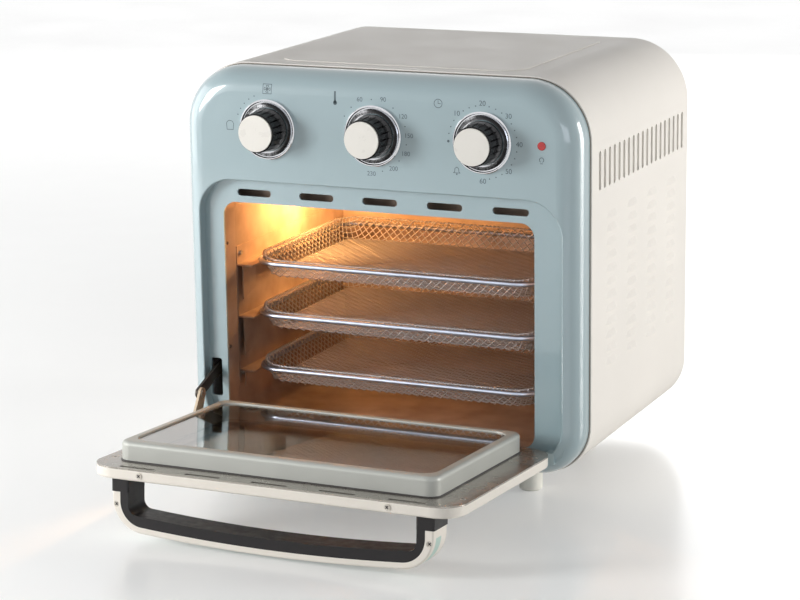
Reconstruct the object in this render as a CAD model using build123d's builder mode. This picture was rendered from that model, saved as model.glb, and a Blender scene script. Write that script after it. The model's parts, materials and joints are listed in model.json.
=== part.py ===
from build123d import *

import math
import os

os.makedirs("parts", exist_ok=True)

# Countertop air fryer oven with a drop-down glass door, shown with the door lowered.
# Millimetres. X to the right as the user sees it, Y to the back, Z up.
# Origin: worktop level, centre of the body's footprint.

# Body
body_width = 330.0
body_depth = 250.0
body_height = 302.0
body_corner = 48.0
body_foot_corner = 39.0
foot_height = 20.0
foot_radius = 9.0
foot_side_setback = 54.7
foot_rear_side_setback = 64.0
foot_front_setback = 40.5
foot_rear_setback = 61.0
foot_edge = 1.2

# Moulded front
fascia_depth = 23.2
fascia_wall = 2.5
front_bullnose = 18.0
seam_groove = 0.9
spigot_depth = 9.0
spigot_wall = 2.0
spigot_clearance = 0.15
recess_side_margin = 15.0
recess_top_margin = 88.46
recess_depth = 9.5
recess_corner = 28.0
recess_foot_corner = 16.0
recess_lip = 1.0
recess_floor = 2.0
opening_side_margin = 20.4
opening_top_margin = 19.24
opening_foot = 21.0
opening_shift = -4.2
opening_corner = 11.0
face_vent_count = 5
face_vent_pitch = 53.3
face_vent_length = 29.0
face_vent_height = 5.5
face_vent_above_opening = 8.0

# Sheet wrap, base and back
wrap_thickness = 1.2
wrap_return = 69.0
base_lap = 10.0
base_vent_count = 8
base_vent_length = 60.0
base_vent_width = 4.0
base_vent_pitch = 14.0
rear_thickness = 1.2
rear_inset = 1.0
rear_clearance = 0.15
rear_vent_count = 13
top_pad_side_margin = 63.0
top_pad_margin = 16.0
top_pad_corner = 22.0
top_pad_height = 0.5
side_slot_count = 19
side_slot_pitch = 10.77
side_slot_length = 29.5
side_slot_width = 4.5
side_slot_setback = 42.0
side_slot_drop = 70.75
louvre_columns = 4
louvre_rows = 12
louvre_column_pitch = 46.84
louvre_row_pitch = 10.3
louvre_length = 25.0
louvre_rise = 5.0
louvre_bulge = 2.2
louvre_setback = 55.9
louvre_foot = 79.2
gland_radius = 7.0
gland_bore = 3.5
gland_stand = 5.0
gland_side_setback = 53.0
gland_foot = 50.0
case_screw_radius = 3.0
case_screw_height = 1.6
case_screw_inset = 13.0

# Oven cavity
throat_wall = 1.0
throat_depth = 16.5
throat_screw_radius = 1.5
cavity_side_step = 4.2
cavity_top_step = 11.7
cavity_foot = 14.0
cavity_rear_setback = 15.0
cavity_wall = 0.8
cavity_corner = 12.0
rack_wall = 0.8
rack_front = 36.0
rack_length = 178.0
rack_ledge_thickness = 1.2
rack_skirt = 12.0
rack_tab_length = 22.0
rack_tab_heights = (13.0, 32.0, 28.0)
rack_tab_slant = 6.0
rack_tab_inset = 5.0
rack_rivet_radius = 2.0
rack_rivet_height = 1.2

# Mesh baskets, lowest first
basket_rises = (40.5, 84.5, 126.5)
basket_side_gap = 6.6
basket_length = 174.0
basket_front = 35.0
basket_corner = 22.0
basket_wire = 2.0
basket_drop = 12.5
basket_draft = 26.0
basket_sheet = 0.9
basket_hem_rise = 6.0
basket_hem_front_rise = 2.2
basket_hem_front_run = 16.0
basket_ride = 0.3
basket_side_play = 0.5
net_columns = 11
net_rows = 8
net_wire = 2.2
net_margin = 9.0

# Fan and heater above the cavity
fan_opening_radius = 66.0
fan_guard_radius = 71.0
fan_guard_thickness = 1.0
fan_guard_slots = 16
fan_guard_slot_width = 4.0
fan_guard_inner = 14.0
fan_guard_bar = 6.0
housing_height = 36.0
housing_wall = 1.0
housing_flange = 7.0
heater_radius = 54.0
heater_tube = 3.2
heater_sides = 8
heater_hole_clearance = 0.2
heater_lift = 8.0
heater_gap_angle = 40.0
heater_leg_stand = 7.0
fan_hub_radius = 9.0
fan_tip_radius = 48.0
fan_blade_count = 8
fan_blade_height = 13.0
fan_blade_thickness = 1.2
fan_lift = 17.0
fan_shaft_radius = 3.0
shaft_clearance = 0.05
motor_width = 58.0
motor_height = 26.0
motor_stand = 6.0
motor_can_radius = 22.0
motor_can_height = 10.0
motor_post_radius = 3.0

# Controls
knob_names = ("function", "temperature", "timer")
knob_side_setback = 76.6
knob_drop = 47.3
bezel_radius = 23.25
bezel_inner = 17.0
bezel_rim = 2.6
bezel_rim_width = 0.6
bezel_rim_slope = 0.6
bezel_floor = 1.2
knob_base_radius = 16.4
knob_front_radius = 14.9
knob_lift = 1.3
knob_length = 19.6
knob_edge = 0.7
knob_flutes = 20
knob_flute_depth = 0.45
knob_cap_radius = 13.9
knob_cap_thickness = 1.2
knob_shaft_radius = 3.0
knob_shaft_seat = 10.0
control_sizes = ((19.0, 26.0), (16.0, 22.0), (22.0, 32.0))
panel_hole_clearance = 1.5
control_nose_length = 6.0
lens_side_setback = 30.2
lens_radius = 3.25
lens_stand = 0.8
lens_length = 9.0

# Door, stored lowered: t runs from the hinge to the free edge, n rises from its middle
open_tilt = 3.67
hinge_setback = 3.0
hinge_foot = 19.04
door_side_gap = 4.3
door_tail = 1.0
door_thickness = 9.0
door_corner = 20.0
door_tail_corner = 24.0
door_edge = 2.0
door_skin = 1.5
door_plate = 1.2
door_run_clearance = 0.8
recess_top_clearance = 1.0
door_run_height = 4.8
hinge_pin_radius = 2.0
hinge_pin_length = 36.0
hinge_pin_setback = 39.7
hinge_barrel_length = 16.0
hinge_clearance = 0.05
hinge_boss_setback = 8.3
hinge_boss_length = 7.0
hinge_boss_wall = 1.2
frame_mouth_gap = 3.0
frame_start = 10.0
frame_end_setback = 19.5
frame_height = 15.0
frame_corner = 9.0
frame_edge = 3.5
frame_band_side = 7.5
frame_band_end = 8.5
frame_lip = 1.2
window_corner = 12.0
glass_thickness = 3.0
glass_clearance = 0.2
glass_ledge = 3.0
outer_window_margin = 13.0
outer_glass_lap = 6.0
outer_glass_thickness = 3.0
plate_vent_length = 28.5
plate_vent_width = 3.2
plate_vent_setback = 5.2
door_screw_head = 2.25
door_screw_shank = 1.25
door_screw_post = 3.6
door_screw_clearance = 0.15
door_screw_inset = 7.4
door_screw_start = 27.3
door_screw_end = 29.0
edge_screw_xs = (-102.0, 94.0)
edge_screw_stand = 0.8

# Handle under the free edge
handle_inset = 18.7
handle_setback = 29.0
handle_depth = 24.0
handle_arm = 13.0
handle_block_height = 10.0
handle_block_margin = 0.5
handle_block_corner = 1.5
handle_reach = 48.3
handle_bow = 5.9
handle_bar = 12.8
handle_shell_wall = 6.5
handle_shell_bar = 4.8
handle_outer_corner = 25.0
handle_inner_corner = 7.0
handle_edge = 1.6
inlay_width = 9.0
inlay_offset = 4.5
inlay_depth = 0.8
inlay_end = 6.0
handle_screw_depth = 1.0
handle_screw_drop = 9.5

# Door stay on the left
stay_slot_width = 9.5
stay_slot_height = 30.5
stay_slot_margin = 6.25
stay_slot_foot = 52.25
stay_slot_corner = 2.0
stay_bracket_inset = 5.7
stay_bracket_thickness = 2.0
stay_bracket_start = 29.0
stay_bracket_end = 43.5
stay_pivot_t = 26.5
stay_pivot_n = 26.0
stay_eye_radius = 4.5
stay_gap = 0.3
stay_lever_thickness = 2.0
stay_lever_length = 95.0
stay_lever_rise = 19.0
stay_rivet_radius = 2.0
stay_rivet_head = 3.2
stay_rivet_head_height = 0.9
stay_rivet_clearance = 0.06
spring_radius = 3.5
spring_wire = 1.0
spring_length = 60.0
spring_gap = 3.0
spring_anchor_radius = 2.5

# Places that follow from the sizes above
front_y = -body_depth / 2
rear_y = body_depth / 2
base_z = foot_height
top_z = foot_height + body_height
body_mid_z = (base_z + top_z) / 2
body_half = body_width / 2
seam_y = front_y + fascia_depth
wrap_front_y = seam_y + seam_groove
spigot_side = wrap_thickness + spigot_clearance

hinge_y = front_y + hinge_setback
hinge_z = base_z + hinge_foot
recess_width = body_width - 2 * recess_side_margin
recess_bottom = hinge_z - door_thickness / 2 - door_run_clearance
recess_top = top_z - recess_top_margin
recess_height = recess_top - recess_bottom
recess_mid_z = (recess_top + recess_bottom) / 2
floor_y = front_y + recess_depth
floor_back_y = floor_y + recess_floor

opening_width = recess_width - 2 * opening_side_margin
opening_bottom = base_z + opening_foot
opening_top = recess_top - opening_top_margin
opening_height = opening_top - opening_bottom
opening_mid_z = (opening_top + opening_bottom) / 2
throat_back_y = floor_back_y + throat_depth

cavity_width = opening_width + 2 * cavity_side_step
cavity_bottom = base_z + cavity_foot
cavity_top = opening_top + cavity_top_step
cavity_height = cavity_top - cavity_bottom
cavity_mid_z = (cavity_top + cavity_bottom) / 2
cavity_back_y = rear_y - cavity_rear_setback
cavity_half = cavity_width / 2
fan_y = (throat_back_y + cavity_back_y) / 2

basket_rim_z = tuple(cavity_bottom + rise for rise in basket_rises)
basket_width = opening_width - 2 * basket_side_gap

door_width = recess_width - 2 * door_side_gap
door_half_width = door_width / 2
door_length = recess_top - recess_top_clearance - hinge_z
hinge_pin_inner = door_half_width - hinge_pin_setback
hinge_boss_inner = door_half_width - hinge_boss_setback
frame_width = opening_width - 2 * frame_mouth_gap
frame_end = door_length - frame_end_setback
plate_vent_t = door_length - plate_vent_setback
door_screw_x = door_half_width - door_screw_inset
door_screw_ts = (door_screw_start, door_length - door_screw_end)
handle_width = door_width - 2 * handle_inset
handle_start = door_length - handle_setback
stay_slot_x = stay_slot_margin - recess_width / 2
stay_slot_z = base_z + stay_slot_foot
stay_bracket_x = stay_bracket_inset - door_half_width

foot_spread = body_half - foot_side_setback
foot_rear_spread = body_half - foot_rear_side_setback
top_pad_width = body_width - 2 * top_pad_side_margin
side_slot_centre_z = top_z - side_slot_drop
louvre_bottom_z = base_z + louvre_foot
gland_x = body_half - gland_side_setback
gland_z = base_z + gland_foot
knob_pitch = body_half - knob_side_setback
knob_z = top_z - knob_drop
knob_xs = (-knob_pitch, 0.0, knob_pitch)
lens_x = body_half - lens_side_setback


def facing_front(y):
    """Upright plane: local x to the right, local y up, its normal towards the user."""
    return Plane(origin=(0, y, 0), x_dir=(1, 0, 0), z_dir=(0, -1, 0))


def knob_axis_plane(x, y):
    """Plane square to a control's axis, its normal towards the user."""
    return Plane(origin=(x, y, knob_z), x_dir=(1, 0, 0), z_dir=(0, -1, 0))


def two_radius_outline(width, height, top_corner, foot_corner):
    """Rectangle whose upper and lower corners have their own radii."""
    with BuildSketch(mode=Mode.PRIVATE) as outline:
        Rectangle(width, height)
        fillet(outline.vertices().group_by(Axis.Y)[0], foot_corner)
        fillet(outline.vertices().group_by(Axis.Y)[-1], top_corner)
    return outline.sketch


def body_outline(inset):
    """Outline of the case across its depth, drawn in by inset."""
    return two_radius_outline(
        body_width - 2 * inset,
        body_height - 2 * inset,
        body_corner - inset,
        body_foot_corner - inset,
    )


def export(part_builder, name):
    part_builder.part.label = name
    export_step(part_builder.part, f"parts/{name}.step")


# Front moulding: shell with a rolled edge, a recess for the door and the oven opening
with BuildPart() as front_fascia:
    with BuildSketch(facing_front(front_y)):
        with Locations((0, body_mid_z)):
            add(body_outline(spigot_side))
    extrude(amount=-fascia_depth)
    fillet(front_fascia.faces().sort_by(Axis.Y)[0].edges(), front_bullnose)
    offset(amount=-fascia_wall, openings=front_fascia.faces().sort_by(Axis.Y)[-1])
    # spigot that the wrap slides over
    with BuildSketch(facing_front(seam_y - spigot_wall)):
        with Locations((0, body_mid_z)):
            add(body_outline(spigot_side))
            add(body_outline(spigot_side + spigot_wall), mode=Mode.SUBTRACT)
    extrude(amount=-(spigot_depth + spigot_wall))
    # recess tray behind the front skin
    with BuildSketch(facing_front(front_y + fascia_wall)):
        with Locations((0, recess_mid_z)):
            add(
                two_radius_outline(
                    recess_width + 2 * fascia_wall,
                    recess_height + 2 * fascia_wall,
                    recess_corner + fascia_wall,
                    recess_foot_corner + fascia_wall,
                )
            )
    extrude(amount=-(recess_depth + recess_floor - fascia_wall))
    with BuildSketch(facing_front(front_y)):
        with Locations((0, recess_mid_z)):
            RectangleRounded(recess_width, recess_height, recess_corner)
    extrude(amount=-recess_depth, mode=Mode.SUBTRACT)
    lip_edges = [
        e
        for e in front_fascia.edges(Select.LAST)
        if e.center().Y < front_y + fascia_wall / 2 and e.center().Z < recess_top + recess_lip
    ]
    fillet(lip_edges, recess_lip)
    # straight run for the door's tail across the recess's rounded lower corners
    with Locations((0, front_y + recess_depth / 2, recess_bottom + door_run_height / 2)):
        Box(2 * hinge_boss_inner, recess_depth, door_run_height, mode=Mode.SUBTRACT)
    with BuildSketch(facing_front(floor_y)):
        with Locations((opening_shift, opening_mid_z)):
            RectangleRounded(opening_width, opening_height, opening_corner)
        vent_z = opening_top + face_vent_above_opening
        with Locations((0, vent_z)):
            with GridLocations(face_vent_pitch, 1, face_vent_count, 1):
                SlotOverall(face_vent_length, face_vent_height)
        with Locations((stay_slot_x, stay_slot_z)):
            RectangleRounded(stay_slot_width, stay_slot_height, stay_slot_corner)
    extrude(amount=-recess_floor, mode=Mode.SUBTRACT)
    # bosses for the hinge pins in the lower corners of the recess
    boss_height = hinge_z + hinge_pin_radius + hinge_boss_wall - recess_bottom
    for side in (-1, 1):
        boss_x = side * (hinge_boss_inner + hinge_boss_length / 2)
        boss_z = recess_bottom + boss_height / 2
        with Locations((boss_x, front_y + recess_depth / 2, boss_z)):
            Box(hinge_boss_length, recess_depth, boss_height)
    with Locations((0, hinge_y, hinge_z)):
        Cylinder(
            hinge_pin_radius,
            2 * (hinge_pin_inner + hinge_pin_length),
            rotation=(0, 90, 0),
            mode=Mode.SUBTRACT,
        )
    # holes for the control shafts and the lamp
    with BuildSketch(facing_front(front_y)):
        with Locations(*[(x, knob_z) for x in knob_xs]):
            Circle(knob_shaft_radius + panel_hole_clearance)
        with Locations((lens_x, knob_z)):
            Circle(lens_radius)
    extrude(amount=-2 * fascia_wall, mode=Mode.SUBTRACT)
export(front_fascia, "front_fascia")

# Sheet wrap: sides, top and turned-in lower edges, with slots and pressed louvres
louvre_points = (
    (0, 0, 0),
    (0, louvre_length, 0),
    (0, louvre_length * 0.78, louvre_rise),
    (0, louvre_length * 0.22, louvre_rise),
    (louvre_bulge, louvre_length * 0.3, 0),
    (louvre_bulge, louvre_length * 0.7, 0),
)
louvre_spots = [
    (
        front_y + louvre_setback + louvre_column_pitch * column,
        louvre_bottom_z + louvre_row_pitch * row,
    )
    for column in range(louvre_columns)
    for row in range(louvre_rows)
]
with BuildPart() as outer_wrap:
    with BuildSketch(facing_front(wrap_front_y)):
        with Locations((0, body_mid_z)):
            add(body_outline(0))
            add(body_outline(wrap_thickness), mode=Mode.SUBTRACT)
    extrude(amount=-(rear_y - wrap_front_y))
    # open underside, closed by the base plate
    with BuildSketch(Plane.XY.offset(base_z)):
        with Locations((0, (wrap_front_y + rear_y) / 2)):
            Rectangle(body_width - 2 * wrap_return, rear_y - wrap_front_y)
    extrude(amount=2 * wrap_thickness, mode=Mode.SUBTRACT)
    # raised pad on the top
    pad_length = rear_y - wrap_front_y - 2 * top_pad_margin
    with BuildSketch(Plane.XY.offset(top_z - wrap_thickness / 2)):
        with Locations((0, (wrap_front_y + rear_y) / 2)):
            RectangleRounded(top_pad_width, pad_length, top_pad_corner)
    extrude(amount=wrap_thickness / 2 + top_pad_height)
    # upright slots through both sides
    slot_mid_y = front_y + side_slot_setback + side_slot_pitch * (side_slot_count - 1) / 2
    with BuildSketch(Plane.YZ):
        with Locations((slot_mid_y, side_slot_centre_z)):
            with GridLocations(side_slot_pitch, 1, side_slot_count, 1):
                SlotOverall(side_slot_length, side_slot_width, rotation=90)
    extrude(amount=body_width, both=True, mode=Mode.SUBTRACT)
    # pressed louvres, open edge downwards
    for side in (-1, 1):
        with Locations(*[(side * body_width / 2, y, z) for y, z in louvre_spots]):
            ConvexPolyhedron([(side * x, y, z) for x, y, z in louvre_points])
export(outer_wrap, "outer_wrap")

# Base plate lying on the turned-in edges of the wrap
base_plate_width = body_width - 2 * wrap_return + 2 * base_lap
base_front_y = seam_y + spigot_depth + rear_clearance
base_length = rear_y - rear_inset - rear_thickness - base_front_y
with BuildPart() as base_plate:
    with BuildSketch(Plane.XY.offset(base_z + wrap_thickness)):
        with Locations((0, base_front_y + base_length / 2)):
            Rectangle(base_plate_width, base_length)
            with GridLocations(1, base_vent_pitch, 1, base_vent_count):
                SlotOverall(base_vent_length, base_vent_width, mode=Mode.SUBTRACT)
    extrude(amount=wrap_thickness)
export(base_plate, "base_plate")

# Back panel set inside the wrap
rear_side = wrap_thickness + rear_clearance
rear_panel_y = rear_y - rear_inset - rear_thickness
with BuildPart() as rear_panel:
    with BuildSketch(facing_front(rear_panel_y)):
        with Locations((0, body_mid_z)):
            add(body_outline(rear_side))
        with Locations((0, side_slot_centre_z)):
            with GridLocations(side_slot_pitch, 1, rear_vent_count, 1):
                SlotOverall(
                    side_slot_length, side_slot_width, rotation=90, mode=Mode.SUBTRACT
                )
        with Locations((gland_x, gland_z)):
            Circle(gland_radius - rear_thickness, mode=Mode.SUBTRACT)
    extrude(amount=-rear_thickness)
export(rear_panel, "rear_panel")

# Strain bush where the supply lead leaves the back
with BuildPart() as cable_gland:
    with BuildSketch(
        Plane(origin=(gland_x, 0, gland_z), x_dir=(1, 0, 0), z_dir=(0, 0, 1))
    ):
        bush_in = rear_panel_y - rear_thickness
        bush_out = rear_panel_y + rear_thickness
        with BuildLine():
            Polyline(
                (gland_bore, bush_in),
                (gland_radius, bush_in),
                (gland_radius, rear_panel_y),
                (gland_radius - rear_thickness, rear_panel_y),
                (gland_radius - rear_thickness, bush_out),
                (gland_radius, bush_out),
                (gland_radius - rear_thickness, bush_out + gland_stand),
                (gland_bore, bush_out + gland_stand),
                close=True,
            )
        make_face()
    revolve(axis=Axis((gland_x, 0, gland_z), (0, 1, 0)))
export(cable_gland, "cable_gland")

# Screws that hold the back panel
case_screw_x = body_width / 2 - case_screw_inset - wrap_thickness
case_screw_zs = (base_z + body_corner, body_mid_z, top_z - body_corner)
with BuildPart() as case_screws:
    with BuildSketch(facing_front(rear_y - rear_inset)):
        with Locations(*[(s * case_screw_x, z) for s in (-1, 1) for z in case_screw_zs]):
            Circle(case_screw_radius)
    extrude(amount=-case_screw_height)
export(case_screws, "case_screws")

# Feet
foot_spots = (
    ("foot_front_left", -foot_spread, front_y + foot_front_setback),
    ("foot_front_right", foot_spread, front_y + foot_front_setback),
    ("foot_rear_left", -foot_rear_spread, rear_y - foot_rear_setback),
    ("foot_rear_right", foot_rear_spread, rear_y - foot_rear_setback),
)
for foot_name, foot_x, foot_y in foot_spots:
    with BuildPart() as foot:
        with BuildSketch(Plane.XY):
            with Locations((foot_x, foot_y)):
                Circle(foot_radius)
        extrude(amount=foot_height)
        chamfer(foot.faces().sort_by(Axis.Z)[0].edges(), foot_edge)
    export(foot, foot_name)

# Sheet collar round the oven mouth, flanged out to the cavity liner
with BuildPart() as cavity_throat:
    with BuildSketch(facing_front(floor_back_y)):
        with Locations((opening_shift, opening_mid_z)):
            RectangleRounded(
                opening_width + 2 * throat_wall,
                opening_height + 2 * throat_wall,
                opening_corner + throat_wall,
            )
    extrude(amount=-throat_depth)
    with BuildSketch(facing_front(throat_back_y - throat_wall)):
        with Locations((opening_shift, cavity_mid_z)):
            RectangleRounded(
                cavity_width + 2 * cavity_wall,
                cavity_height + 2 * cavity_wall,
                cavity_corner + cavity_wall,
            )
    extrude(amount=-throat_wall)
    with BuildSketch(facing_front(floor_back_y)):
        with Locations((opening_shift, opening_mid_z)):
            RectangleRounded(opening_width, opening_height, opening_corner)
    extrude(amount=-throat_depth, mode=Mode.SUBTRACT)
    throat_screw_y = floor_back_y + 2 * throat_screw_radius
    with BuildSketch(Plane.YZ):
        for z in (opening_bottom + opening_height * 0.32, opening_top - opening_height * 0.2):
            with Locations((throat_screw_y, z)):
                Circle(throat_screw_radius)
    extrude(amount=opening_width, both=True, mode=Mode.SUBTRACT)
export(cavity_throat, "cavity_throat")

# Cavity liner, open at the front, with the fan opening in its ceiling
with BuildPart() as oven_cavity:
    with BuildSketch(facing_front(throat_back_y)):
        with Locations((opening_shift, cavity_mid_z)):
            RectangleRounded(
                cavity_width + 2 * cavity_wall,
                cavity_height + 2 * cavity_wall,
                cavity_corner + cavity_wall,
            )
    extrude(amount=-(cavity_back_y + cavity_wall - throat_back_y))
    with BuildSketch(facing_front(throat_back_y)):
        with Locations((opening_shift, cavity_mid_z)):
            RectangleRounded(cavity_width, cavity_height, cavity_corner)
    extrude(amount=-(cavity_back_y - throat_back_y), mode=Mode.SUBTRACT)
    with BuildSketch(Plane.XY.offset(cavity_top)):
        with Locations((opening_shift, fan_y)):
            Circle(fan_opening_radius)
    extrude(amount=cavity_wall, mode=Mode.SUBTRACT)
export(oven_cavity, "oven_cavity")

# Side racks: a folded sheet with three ledges and a guide tab at the front of each
rack_bottom = basket_rim_z[0] - rack_skirt
rack_top = basket_rim_z[-1] + rack_skirt
rack_mid_z = (rack_bottom + rack_top) / 2
rack_y = front_y + rack_front
ledge_width = cavity_half - basket_width / 2 + 2 * basket_wire - basket_side_play
for side, rack_name in ((-1, "rack_support_left"), (1, "rack_support_right")):
    wall_x = opening_shift + side * cavity_half
    with BuildPart() as rack_support:
        with Locations(
            (wall_x - side * rack_wall / 2, rack_y + rack_length / 2, rack_mid_z)
        ):
            Box(rack_wall, rack_length, rack_top - rack_bottom)
        for rim_z, tab_height in zip(basket_rim_z, rack_tab_heights):
            ledge_top = rim_z - basket_wire - basket_ride
            ledge_z = ledge_top - rack_ledge_thickness / 2
            ledge_x = wall_x - side * ledge_width / 2
            with Locations((ledge_x, rack_y + rack_length / 2, ledge_z)):
                Box(ledge_width, rack_length, rack_ledge_thickness)
            with BuildSketch(Plane.YZ.offset(wall_x - side * rack_tab_inset)):
                with BuildLine():
                    Polyline(
                        (rack_y, ledge_top),
                        (rack_y + rack_tab_length, ledge_top),
                        (rack_y + rack_tab_length, ledge_top - tab_height + rack_tab_slant),
                        (rack_y, ledge_top - tab_height),
                        close=True,
                    )
                make_face()
            extrude(amount=-side * rack_wall)
    export(rack_support, rack_name)

# Rivets that hold the side racks to the liner
with BuildPart() as rack_rivets:
    for side in (-1, 1):
        wall_x = opening_shift + side * cavity_half
        head_x = wall_x - side * (rack_wall + rack_rivet_height / 2)
        for rivet_z in (rack_bottom + rack_skirt / 2, rack_top - rack_skirt / 2):
            with Locations((head_x, rack_y + rack_skirt / 2, rivet_z)):
                Cylinder(rack_rivet_radius, rack_rivet_height, rotation=(0, 90, 0))
export(rack_rivets, "rack_rivets")

# Baskets: wire rim with a sloping-sided tray whose floor is an open net
basket_y = front_y + basket_front + basket_length / 2
net_top_width = basket_width - 4 * basket_wire
net_top_length = basket_length - 4 * basket_wire
net_inset = basket_drop * math.tan(math.radians(basket_draft))
net_floor_width = net_top_width - 2 * net_inset - 2 * net_margin
net_floor_length = net_top_length - 2 * net_inset - 2 * net_margin
net_pitch_x = net_floor_width / net_columns
net_pitch_y = net_floor_length / net_rows
for level, rim_z in enumerate(basket_rim_z, start=1):
    with BuildPart() as basket_rim:
        with BuildSketch(Plane.XY.offset(rim_z), mode=Mode.PRIVATE) as rim_loop:
            with Locations((opening_shift, basket_y)):
                RectangleRounded(
                    basket_width - 2 * basket_wire,
                    basket_length - 2 * basket_wire,
                    basket_corner,
                )
        rim_path = rim_loop.sketch.faces()[0].outer_wire()
        with BuildSketch(Plane(origin=rim_path @ 0, z_dir=rim_path % 0)):
            Circle(basket_wire)
        sweep(path=rim_path)
    export(basket_rim, f"basket_rim_{level}")
    with BuildPart() as basket_mesh:
        with BuildSketch(Plane.XY.offset(rim_z)):
            with Locations((opening_shift, basket_y)):
                RectangleRounded(net_top_width, net_top_length, basket_corner - basket_wire)
        extrude(amount=-basket_drop, taper=basket_draft)
        with BuildSketch(Plane.XY.offset(rim_z)):
            with Locations((opening_shift, basket_y)):
                RectangleRounded(
                    net_top_width - 2 * basket_sheet,
                    net_top_length - 2 * basket_sheet,
                    basket_corner - basket_wire - basket_sheet,
                )
        extrude(amount=basket_sheet - basket_drop, taper=basket_draft, mode=Mode.SUBTRACT)
        with BuildSketch(Plane.XY.offset(rim_z - basket_drop)):
            with Locations((opening_shift, basket_y)):
                with GridLocations(net_pitch_x, net_pitch_y, net_columns, net_rows):
                    Rectangle(net_pitch_x - net_wire, net_pitch_y - net_wire)
        extrude(amount=2 * basket_sheet, mode=Mode.SUBTRACT)
        # hem standing above the rim, lower along the front
        with BuildSketch(Plane.XY.offset(rim_z)):
            with Locations((opening_shift, basket_y)):
                RectangleRounded(net_top_width, net_top_length, basket_corner - basket_wire)
                RectangleRounded(
                    net_top_width - 2 * basket_sheet,
                    net_top_length - 2 * basket_sheet,
                    basket_corner - basket_wire - basket_sheet,
                    mode=Mode.SUBTRACT,
                )
        extrude(amount=basket_hem_rise)
        hem_cut_z = rim_z + (basket_hem_front_rise + basket_hem_rise) / 2
        hem_cut_y = front_y + basket_front + basket_hem_front_run / 2
        with Locations((opening_shift, hem_cut_y, hem_cut_z)):
            Box(
                basket_width,
                basket_hem_front_run,
                basket_hem_rise - basket_hem_front_rise,
                mode=Mode.SUBTRACT,
            )
    export(basket_mesh, f"basket_mesh_{level}")

# Guard under the fan opening
with BuildPart() as fan_guard:
    with BuildSketch(Plane.XY.offset(cavity_top - fan_guard_thickness)):
        with Locations((opening_shift, fan_y)):
            Circle(fan_guard_radius)
        slot_length = fan_opening_radius - fan_guard_inner - 2 * fan_guard_bar
        with Locations((opening_shift, fan_y)):
            slot_radius = fan_guard_inner + fan_guard_bar + slot_length / 2
            with PolarLocations(slot_radius, fan_guard_slots):
                Rectangle(slot_length, fan_guard_slot_width, mode=Mode.SUBTRACT)
    extrude(amount=fan_guard_thickness)
export(fan_guard, "fan_guard")

# Drum over the cavity that holds the fan and the heater
housing_base_z = cavity_top + cavity_wall
housing_top_z = housing_base_z + housing_height
housing_inner = fan_opening_radius + housing_wall
with BuildPart() as fan_housing:
    with BuildSketch(Plane(origin=(opening_shift, fan_y, 0), x_dir=(1, 0, 0), z_dir=(0, -1, 0))):
        with BuildLine():
            Polyline(
                (housing_inner, housing_base_z),
                (housing_inner + housing_wall + housing_flange, housing_base_z),
                (housing_inner + housing_wall + housing_flange, housing_base_z + housing_wall),
                (housing_inner + housing_wall, housing_base_z + housing_wall),
                (housing_inner + housing_wall, housing_top_z),
                (fan_shaft_radius + panel_hole_clearance, housing_top_z),
                (fan_shaft_radius + panel_hole_clearance, housing_top_z - housing_wall),
                (housing_inner, housing_top_z - housing_wall),
                close=True,
            )
        make_face()
    revolve(axis=Axis((opening_shift, fan_y, 0), (0, 0, 1)))
    heater_angles = (90 - heater_gap_angle / 2, 90 + heater_gap_angle / 2)
    with BuildSketch(Plane.XY.offset(housing_top_z)):
        with Locations((opening_shift, fan_y)):
            for angle in heater_angles:
                with PolarLocations(heater_radius, 1, start_angle=angle):
                    Circle(heater_tube + heater_hole_clearance)
    extrude(amount=-2 * housing_wall, mode=Mode.SUBTRACT)
export(fan_housing, "fan_housing")

# Tubular heater: an open ring with two legs up through the drum
heater_z = housing_base_z + heater_lift
with BuildPart() as heating_element:
    heater_start = Vector(
        opening_shift + heater_radius * math.cos(math.radians(heater_angles[1])),
        fan_y + heater_radius * math.sin(math.radians(heater_angles[1])),
        heater_z,
    )
    with BuildLine(Plane.XY.offset(heater_z)):
        heater_ring = CenterArc(
            (opening_shift, fan_y), heater_radius, heater_angles[1], 360 - heater_gap_angle
        )
    with BuildSketch(Plane(origin=heater_start, z_dir=heater_ring % 0)):
        RegularPolygon(heater_tube, heater_sides)
    sweep()
    for angle in heater_angles:
        leg_x = opening_shift + heater_radius * math.cos(math.radians(angle))
        leg_y = fan_y + heater_radius * math.sin(math.radians(angle))
        with BuildSketch(Plane.XY.offset(heater_z - heater_tube)):
            with Locations((leg_x, leg_y)):
                RegularPolygon(heater_tube, heater_sides)
        extrude(amount=housing_top_z + heater_leg_stand - heater_z + heater_tube)
export(heating_element, "heating_element")

# Radial fan with its shaft
fan_z = housing_base_z + fan_lift
motor_z = housing_top_z + motor_stand
with BuildPart() as convection_fan:
    with BuildSketch(Plane.XY.offset(fan_z)):
        with Locations((opening_shift, fan_y)):
            Circle(fan_hub_radius)
            blade_length = fan_tip_radius - fan_hub_radius / 2
            with PolarLocations(fan_hub_radius / 2 + blade_length / 2, fan_blade_count):
                Rectangle(blade_length, fan_blade_thickness)
    extrude(amount=fan_blade_height)
    with BuildSketch(Plane.XY.offset(fan_z + fan_blade_height - fan_blade_thickness)):
        with Locations((opening_shift, fan_y)):
            Circle(fan_tip_radius)
    extrude(amount=fan_blade_thickness)
    with BuildSketch(Plane.XY.offset(fan_z)):
        with Locations((opening_shift, fan_y)):
            Circle(fan_shaft_radius)
    extrude(amount=motor_z + motor_height / 2 - fan_z)
export(convection_fan, "convection_fan")

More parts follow.
